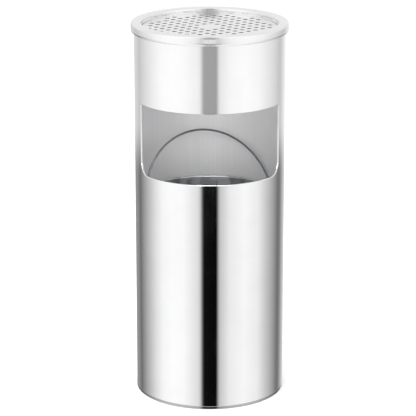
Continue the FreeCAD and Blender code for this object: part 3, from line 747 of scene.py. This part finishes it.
# %% The punched plate
HOLE_RADIUS = 4.2 * MM
HOLE_PITCH = 10.5 * MM
HOLE_BORDER = 5.2 * MM
PLATE_TURN = math.radians(-4.5)
PLATE_GAUGE = plate_high.z - plate_low.z
PLATE_SOFT = 0.3 * MM
PUNCH_PULL = 0.45 * MM
PUNCH_BREAK = 0.08 * MM
PUNCH_STEPS = 4


def hole_places():
    """Every other crossing of a square net, clear of the edge, without the middle four."""
    reach = PLATE_RADIUS - HOLE_BORDER - HOLE_RADIUS
    lines = math.ceil(PLATE_RADIUS / HOLE_PITCH)
    span = range(-lines, lines + 1)
    places = [Vector((column, line)) * HOLE_PITCH for column in span for line in span
              if (column + line) % 2 == 1]
    return [place for place in places if 1.5 * HOLE_PITCH < place.length <= reach]


def punched_steps():
    """The pulled-down upper edge of a punched hole, its bore and its broken lower edge."""
    turns = [math.radians(90 * step / PUNCH_STEPS) for step in range(PUNCH_STEPS + 1)]
    steps = [(PUNCH_PULL * (1 - math.sin(turn)), PUNCH_PULL * (1 - math.cos(turn)))
             for turn in turns]
    return steps + [(0, PLATE_GAUGE - PUNCH_BREAK), (PUNCH_BREAK, PLATE_GAUGE)]


def make_plate():
    bm = bmesh.new()
    places = hole_places()
    disc = round_hole((0, 0), PLATE_RADIUS, 192)
    holes = [(round_hole(place, HOLE_RADIUS), punched_steps()) for place in places]
    cut_sheet(bm, disc, PLATE_GAUGE, holes, PLATE_SOFT)
    turned = Matrix.Rotation(PLATE_TURN, 4, "Z")
    for vert in bm.verts:
        vert.co = turned @ Vector((vert.co.x, vert.co.z, PLATE_TOP + vert.co.y))
    print(f"{len(places)} holes")
    return make_piece("punched_plate", bm, "grid", "plate_steel", ["perforated_plate"], upwards)


make_plate()

# %% [markdown]
# ## Dish, bands and rubber
#
# The pieces under the rim and inside the shell are seen through the holes, through the opening and
# when the head comes off. They repeat the plain parts' sections with rounded edges.

# %% The ash dish
DISH_GAUGE = 1.0 * MM
DISH_LEDGE = 6.5 * MM
DISH_SLOPE = 6 * MM
DISH_CORNER = 9 * MM
LEDGE_BEND_OUTSIDE = 2 * MM
LEDGE_BEND_INSIDE = 1.5 * MM


def make_dish():
    """A flat bottom, a round corner, a side that slopes out, and the ledge that carries the plate."""
    low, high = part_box("ash_dish")
    mouth = high.x - DISH_LEDGE
    inner = DISH_CORNER - DISH_GAUGE
    middle = (mouth - DISH_SLOPE - inner, low.z + DISH_CORNER)
    under_ledge = (mouth + DISH_GAUGE + LEDGE_BEND_INSIDE, high.z - DISH_GAUGE - LEDGE_BEND_INSIDE)
    over_ledge = (mouth + LEDGE_BEND_OUTSIDE, high.z - LEDGE_BEND_OUTSIDE)
    points = [(0, low.z)]
    points += arc(middle, DISH_CORNER, -90, 0, 10)
    points += arc(under_ledge, LEDGE_BEND_INSIDE, 180, 90, 5)
    points += [(high.x, high.z - DISH_GAUGE), (high.x, high.z)]
    points += arc(over_ledge, LEDGE_BEND_OUTSIDE, 90, 180, 5)
    points += arc(middle, inner, 0, -90, 10)
    points += [(0, low.z + DISH_GAUGE)]
    return make_piece("pressed_dish", spun(points), "ashtray_head", "dish_steel", ["ash_dish"])


make_dish()

# %% Bands, strips and plates that are plain rings or discs
STRIP_LIP = 1.5 * MM
FOOT_WIDTH = 6 * MM
FOOT_BEVEL = 0.6 * MM
FOOT_FLANGE = 2 * MM


def band_profile(node, gauge):
    low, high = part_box(node)
    return [(high.x - gauge, low.z), (high.x, low.z), (high.x, high.z), (high.x - gauge, high.z)]


def pan_profile(node, gauge):
    """A disc with its edge turned down."""
    low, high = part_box(node)
    return [(0, high.z - gauge), (high.x - gauge, high.z - gauge), (high.x - gauge, low.z),
            (high.x, low.z), (high.x, high.z), (0, high.z)]


def edge_strip_profile():
    """An angle of rubber that lies on the shell's upper edge and hangs down inside."""
    low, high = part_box("edge_strip")
    inner = SHELL_RADIUS - SHEET
    return [(inner - STRIP_LIP, low.z), (inner, low.z), (inner, SHELL_TOP), (high.x, SHELL_TOP),
            (high.x, high.z), (inner - STRIP_LIP, high.z)]


def foot_ring_profile():
    """A flat foot under the shell's edge, with a flange that stands up inside the shell."""
    low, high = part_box("base_ring")
    inner = SHELL_RADIUS - SHEET
    foot_in = SHELL_RADIUS - FOOT_WIDTH
    return [(foot_in, low.z), (SHELL_RADIUS - FOOT_BEVEL, low.z),
            (SHELL_RADIUS, low.z + FOOT_BEVEL), (SHELL_RADIUS, SHELL_FOOT), (inner, SHELL_FOOT),
            (inner, high.z), (inner - FOOT_FLANGE, high.z), (inner - FOOT_FLANGE, SHELL_FOOT),
            (foot_in, SHELL_FOOT)]


# Name, node that it stands for, body, slot, profile, and how far its edges are softened in mm.
ROUND_PIECES = [
    ("band_inside", "top_band", "shell", "inner_steel", band_profile("top_band", 1.5 * MM), 0.4),
    ("skirt_ring", "locating_ring", "ashtray_head", "inner_steel",
     band_profile("locating_ring", 1.2 * MM), 0.35),
    ("rubber_strip", "edge_strip", "shell", "rubber", edge_strip_profile(), 0.3),
    ("foot_ring", "base_ring", "shell", "rim_steel", foot_ring_profile(), 0.4),
    ("floor_pan", "base_plate", "shell", "galvanised", pan_profile("base_plate", 1.2 * MM), 0.5),
    ("bucket_floor", "bucket_bottom", "bucket", "galvanised",
     pan_profile("bucket_bottom", 0.8 * MM), 0.35),
]
for name, node, body, slot, profile, soft in ROUND_PIECES:
    # The foot ring takes the darker copy of the rim's steel, whose dark shade is painted shade.
    own_finish = [shaded_foot_steel] if name == "foot_ring" else None
    make_piece(name, spun(softened(profile, soft * MM)), body, slot, [node], finishes=own_finish)
print(f"{len(ROUND_PIECES)} plain rings and discs")

# %% [markdown]
# ## The bucket
#
# The bucket's side is thin galvanised sheet whose upper edge is rolled outwards over a wire. It is
# one closed profile: up the inside, over the roll, back round under it, and down the outside.

# %% The bucket's side
BUCKET_SHEET = 0.8 * MM
CURL = 2.2 * MM
CURL_EASE = 0.4 * MM
BUCKET_WALL_RADIUS = BUCKET_RADIUS - 2 * CURL + BUCKET_SHEET


def make_bucket_side():
    outer = BUCKET_WALL_RADIUS
    inner = outer - BUCKET_SHEET
    middle = (inner + CURL, BUCKET_TOP - CURL)
    points = [(inner, BUCKET_FOOT)]
    points += arc(middle, CURL, 180, -120, 22)
    points += arc(middle, CURL - BUCKET_SHEET, -120, 150, 18)
    points += [(outer, middle[1] - CURL_EASE), (outer, BUCKET_FOOT)]
    return make_piece("bucket_side", spun(points), "bucket", "galvanised", ["bucket_wall"])


make_bucket_side()

# %% [markdown]
# ## Straps, ears and rivets
#
# The strap over the bucket's seam and the two ears that carry the bail are small flat plates,
# cut flat with round corners and holes, and rolled to the bucket's side like the shell. The rivets
# are turned heads, each a spun dome that is then swung round to its place.

# %% Plates on the bucket
SEAM_TURN = BUCKET_TURN + math.pi
RIGHT_TURN = BUCKET_TURN + math.pi / 2
LEFT_TURN = BUCKET_TURN - math.pi / 2
EAR_RIVET_TURN = math.radians(5)
STRAP_RIVETS = 6
STRAP_HALF_WIDTH = 9 * MM
STRAP_GAUGE = 0.8 * MM
STRAP_CORNER = 4 * MM
EAR_HALF_WIDTH = 16 * MM
EAR_GAUGE = 1.2 * MM
EAR_CORNER = 6 * MM
PLATE_EDGE = 0.12 * MM
WIRE = 1.6 * MM
PIVOT_PLAY = 0.08 * MM


def rolled_plate(name, node, half_width, low, high, gauge, corner, holes, turn):
    bm = bmesh.new()
    outside = rounded_box((-half_width, low), (half_width, high), [corner] * 4, 6)
    steps = soft_edge(gauge, PLATE_EDGE)
    cut_sheet(bm, outside, gauge, [(hole, steps) for hole in holes], PLATE_EDGE)
    slice_across(bm, -half_width, half_width, 24)
    roll(bm, BUCKET_WALL_RADIUS + gauge, turn)
    return make_piece(name, bm, "bucket", "galvanised", [node], outwards)


def make_strap():
    low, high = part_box("bucket_seam_strap")
    return rolled_plate("seam_strap", "bucket_seam_strap", STRAP_HALF_WIDTH, low.z, high.z,
                        STRAP_GAUGE, STRAP_CORNER, [], SEAM_TURN)


def make_ear(side, turn):
    node = f"bail_ear_{side}"
    low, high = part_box(node)
    pivot = round_hole((0, PIVOT_HEIGHT), WIRE + PIVOT_PLAY, 24)
    return rolled_plate(f"ear_{side}", node, EAR_HALF_WIDTH, low.z, high.z, EAR_GAUGE,
                        EAR_CORNER, [pivot], turn)


make_strap()
make_ear("right", RIGHT_TURN)
make_ear("left", LEFT_TURN)

# %% Rivets
RIVET_HEAD = 3.2 * MM
RIVET_RISE = 1.1 * MM
RIVET_SHANK = 1.6 * MM
RIVET_TAIL = 2.1 * MM
TAIL_THICK = 0.5 * MM
TAIL_BEVEL = 0.2 * MM


def rivet_profile(thickness):
    """Domed head outside, shank, and a small flat head inside, along +Z from the inner face."""
    dome = [(RIVET_HEAD * math.cos(math.radians(turn)),
             thickness + RIVET_RISE * math.sin(math.radians(turn))) for turn in range(0, 91, 15)]
    return [(0, -TAIL_THICK), (RIVET_TAIL - TAIL_BEVEL, -TAIL_THICK),
            (RIVET_TAIL, TAIL_BEVEL - TAIL_THICK), (RIVET_TAIL, 0), (RIVET_SHANK, 0),
            (RIVET_SHANK, thickness), *dome[:-1], (0, thickness + RIVET_RISE)]


def make_rivets(name, node, places, thickness):
    """Rivets at (azimuth, height) places, as one piece."""
    whole = bmesh.new()
    inner = BUCKET_WALL_RADIUS - BUCKET_SHEET
    for turn, height in places:
        one = spun(rivet_profile(thickness), 28)
        lean = Matrix.Rotation(math.pi / 2, 4, "X")
        swing = Matrix.Rotation(turn, 4, "Z")
        out = Vector((math.sin(turn), -math.cos(turn), 0)) * inner
        move = Matrix.Translation(out + Vector((0, 0, height)))
        bmesh.ops.transform(one, matrix=move @ swing @ lean, verts=one.verts[:])
        mesh = bpy.data.meshes.new("one_rivet")
        one.to_mesh(mesh)
        one.free()
        whole.from_mesh(mesh)
        bpy.data.meshes.remove(mesh)
    return make_piece(name, whole, "bucket", "rivet_steel", [node])


rivet_low, rivet_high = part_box("bucket_seam_rivets")
first = rivet_low.z + RIVET_HEAD
last = rivet_high.z - RIVET_HEAD
strap_places = [(SEAM_TURN, first + (last - first) * step / (STRAP_RIVETS - 1))
                for step in range(STRAP_RIVETS)]
make_rivets("strap_rivets", "bucket_seam_rivets", strap_places, BUCKET_SHEET + STRAP_GAUGE)
ear_places = [(turn + lean, PIVOT_HEIGHT) for turn in (RIGHT_TURN, LEFT_TURN)
              for lean in (-EAR_RIVET_TURN, EAR_RIVET_TURN)]
make_rivets("ear_rivets", "bail_ear_rivets", ear_places, BUCKET_SHEET + EAR_GAUGE)

# %% [markdown]
# ## The bail
#
# The bail is one length of drawn wire: an arch as wide as the bucket, and at each end a hanging
# loop whose tail turns in through the ear. A curve with a round bevel is the natural tool for
# wire. Its points follow the straight runs and the bends, and it becomes a mesh at the end.

# %% The wire bail
BAIL_CLEAR = 0.4 * MM
BAIL_RADIUS = BUCKET_RADIUS + BAIL_CLEAR + WIRE
BAIL_OFFSET = 3.6 * MM
HOOK = 17 * MM
FLARE = 2.2 * MM
NECK = 1 * MM
TAIL_REACH = 3 * MM
TAIL_BEND = 2.6 * MM
SHOULDER_BEND = 10.4 * MM
LOOP_SHARE = 0.8
ARCH_STEPS = 96


def bent_run(points, radii, steps=8):
    """Straight runs with an arc at each inner point."""
    path = [points[0]]
    for before, corner, after, radius in zip(points, points[1:], points[2:], radii):
        back = (before - corner).normalized()
        ahead = (after - corner).normalized()
        half = back.angle(ahead) / 2
        reach = radius / math.tan(half)
        middle = corner + (back + ahead).normalized() * (radius / math.sin(half))
        start = (corner + back * reach - middle).normalized()
        end = (corner + ahead * reach - middle).normalized()
        path.extend(middle + start.slerp(end, step / steps) * radius for step in range(steps + 1))
    return path + [points[-1]]


def make_bail():
    """The wire upright and along X first, then leaned and turned to its place in the bucket."""
    tail = BUCKET_WALL_RADIUS - BUCKET_SHEET - TAIL_REACH
    hook = [
        Vector((tail, 0, 0)), Vector((BAIL_RADIUS, 0, 0)), Vector((BAIL_RADIUS, FLARE, -HOOK)),
        Vector((BAIL_RADIUS, -BAIL_OFFSET - FLARE, -HOOK)),
        Vector((BAIL_RADIUS, -BAIL_OFFSET, -NECK)), Vector((BAIL_RADIUS, -BAIL_OFFSET, 0)),
    ]
    loop_bend = (BAIL_OFFSET + 2 * FLARE) / 2 * LOOP_SHARE
    near = bent_run(hook, [TAIL_BEND, loop_bend, loop_bend, SHOULDER_BEND])
    arch = [Vector((BAIL_RADIUS * math.cos(turn), -BAIL_OFFSET, BAIL_RADIUS * math.sin(turn)))
            for turn in (math.pi * step / ARCH_STEPS for step in range(1, ARCH_STEPS))]
    far = [Vector((-point.x, point.y, point.z)) for point in reversed(near)]
    place = (Matrix.Translation((0, 0, PIVOT_HEIGHT)) @ Matrix.Rotation(BUCKET_TURN, 4, "Z")
             @ Matrix.Rotation(-BAIL_LEAN, 4, "X"))
    path = [place @ point for point in near + arch + far]
    curve = bpy.data.curves.new("bail_run", "CURVE")
    curve.dimensions = "3D"
    curve.bevel_depth = WIRE
    curve.bevel_resolution = 5
    curve.use_fill_caps = True
    spline = curve.splines.new("POLY")
    spline.points.add(len(path) - 1)
    for point, position in zip(spline.points, path):
        point.co = (*position, 1)
    sweep = bpy.data.objects.new("bail_run", curve)
    mesh = bpy.data.meshes.new_from_object(sweep)
    bm = bmesh.new()
    bm.from_mesh(mesh)
    bpy.data.objects.remove(sweep)
    bpy.data.meshes.remove(mesh)
    return make_piece("bail_wire", bm, "bail", "wire_steel", ["bail"])


make_bail()

# %% [markdown]
# ## Parts that stay as they are
#
# The lugs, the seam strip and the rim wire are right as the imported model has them, so they only
# get their finish.

# %% Finishes for the parts that stay
for entry in frame["record"]["subparts"]:
    node = frame["nodes"][entry["node"]]
    node.data.materials.clear()
    node.data.materials.append(FINISHES[entry["material_slot"]])
print(f"{len(frame['nodes'])} nodes have their finish")

# %% [markdown]
# ## Flags
#
# The lamp that looks into the opening would also put a hard glint on the head, and the lamp for the
# rim would show in the shell. In a studio a black flag stands between them; here each of the two
# lamps is told which pieces it may light.

# %% Choose what two of the lamps light
head_bodies = [frame["bodies"]["ashtray_head"], frame["bodies"]["grid"]]
lit_pieces = bpy.data.collections.new("lit_pieces")
for piece in bpy.context.scene.objects:
    if piece.type == "MESH" and piece.parent and piece.parent not in head_bodies:
        lit_pieces.objects.link(piece)
opening_lamp.light_linking.receiver_collection = lit_pieces
rim_pieces = bpy.data.collections.new("rim_pieces")
rim_pieces.objects.link(rim_roll)
rim_lamp.light_linking.receiver_collection = rim_pieces
